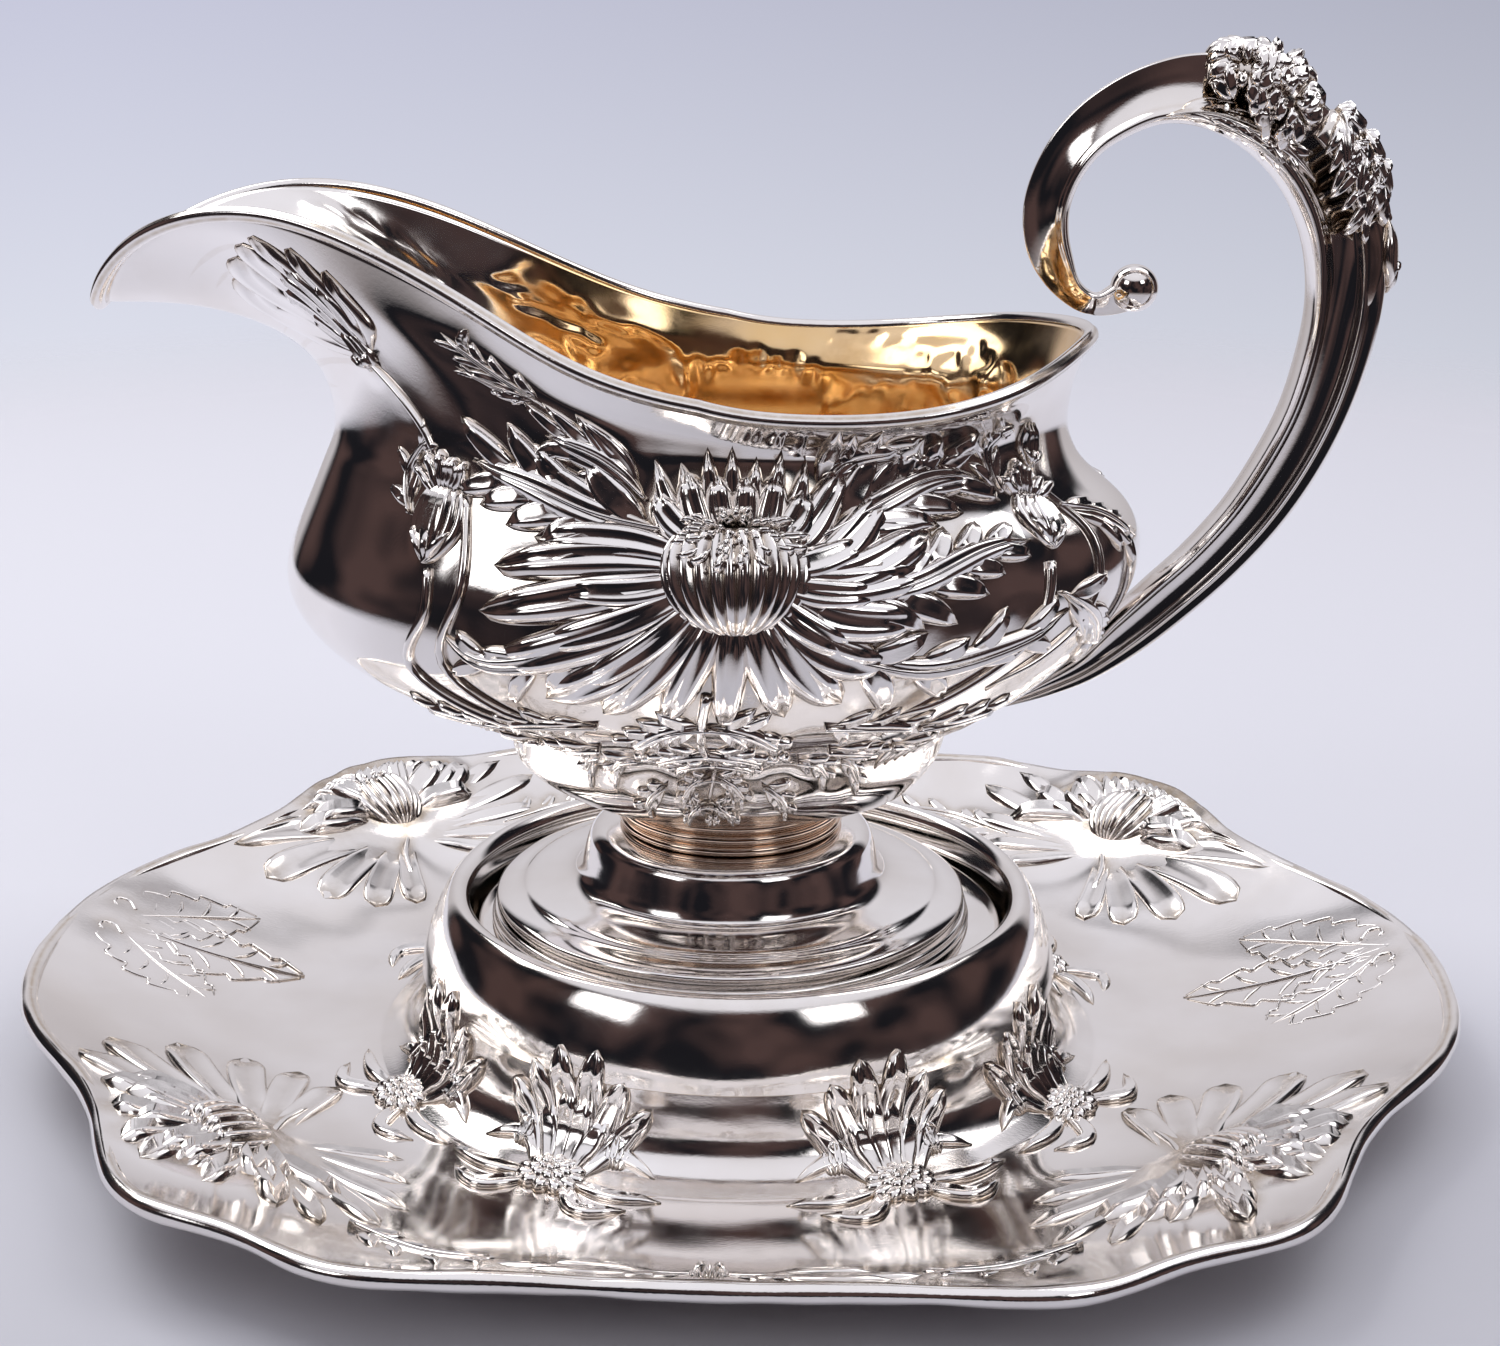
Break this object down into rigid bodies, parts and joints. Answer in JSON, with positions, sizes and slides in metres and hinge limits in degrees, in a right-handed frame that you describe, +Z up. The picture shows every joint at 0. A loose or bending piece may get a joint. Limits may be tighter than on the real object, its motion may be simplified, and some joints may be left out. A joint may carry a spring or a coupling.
{
  "type": "sauce boat on stand",
  "caption": "Footed silver sauce boat with a long lip, high scroll handle and chrysanthemum repousse, standing in the raised round well of its lobed oval stand.",
  "frame": {"origin": "centre of the stand's outline, on the plane that the stand rests on", "axes": "+X toward the handle, with the spout toward -X; +Y to the left of someone looking along +X; +Z up"},
  "size_m": [0.2524, 0.226, 0.1741],
  "materials": {
    "silver_sheet": "polished silver sheet, chased, with warm tarnish left in the recesses",
    "silver_sheet_gilt_inside": "polished silver sheet, repousse, with a gold wash inside the bowl",
    "silver_wire": "polished drawn silver moulding wire",
    "silver_cast": "polished stamped and cast silver, darker in the recesses"
  },
  "bodies": {
    "stand": {"tray": "silver_sheet", "tray_rim_wire": "silver_wire", "well_ring": "silver_sheet", "well_floor": "silver_sheet"},
    "boat": {"bowl": "silver_sheet_gilt_inside", "bowl_rim_wire": "silver_wire", "neck_collar": "silver_sheet", "foot": "silver_sheet", "foot_base_ring": "silver_wire", "handle_half_back": "silver_cast", "handle_half_front": "silver_cast", "handle_scroll_ball": "silver_cast", "handle_flower": "silver_cast", "handle_leaf_cluster": "silver_cast", "handle_bud": "silver_cast", "handle_inner_leaf": "silver_cast"}
  },
  "joints": [
    {"name": "boat_lift", "type": "slide", "parent": "stand", "child": "boat", "axis": [0, 0, 1], "range_m": [0, 0.08]}
  ]
}
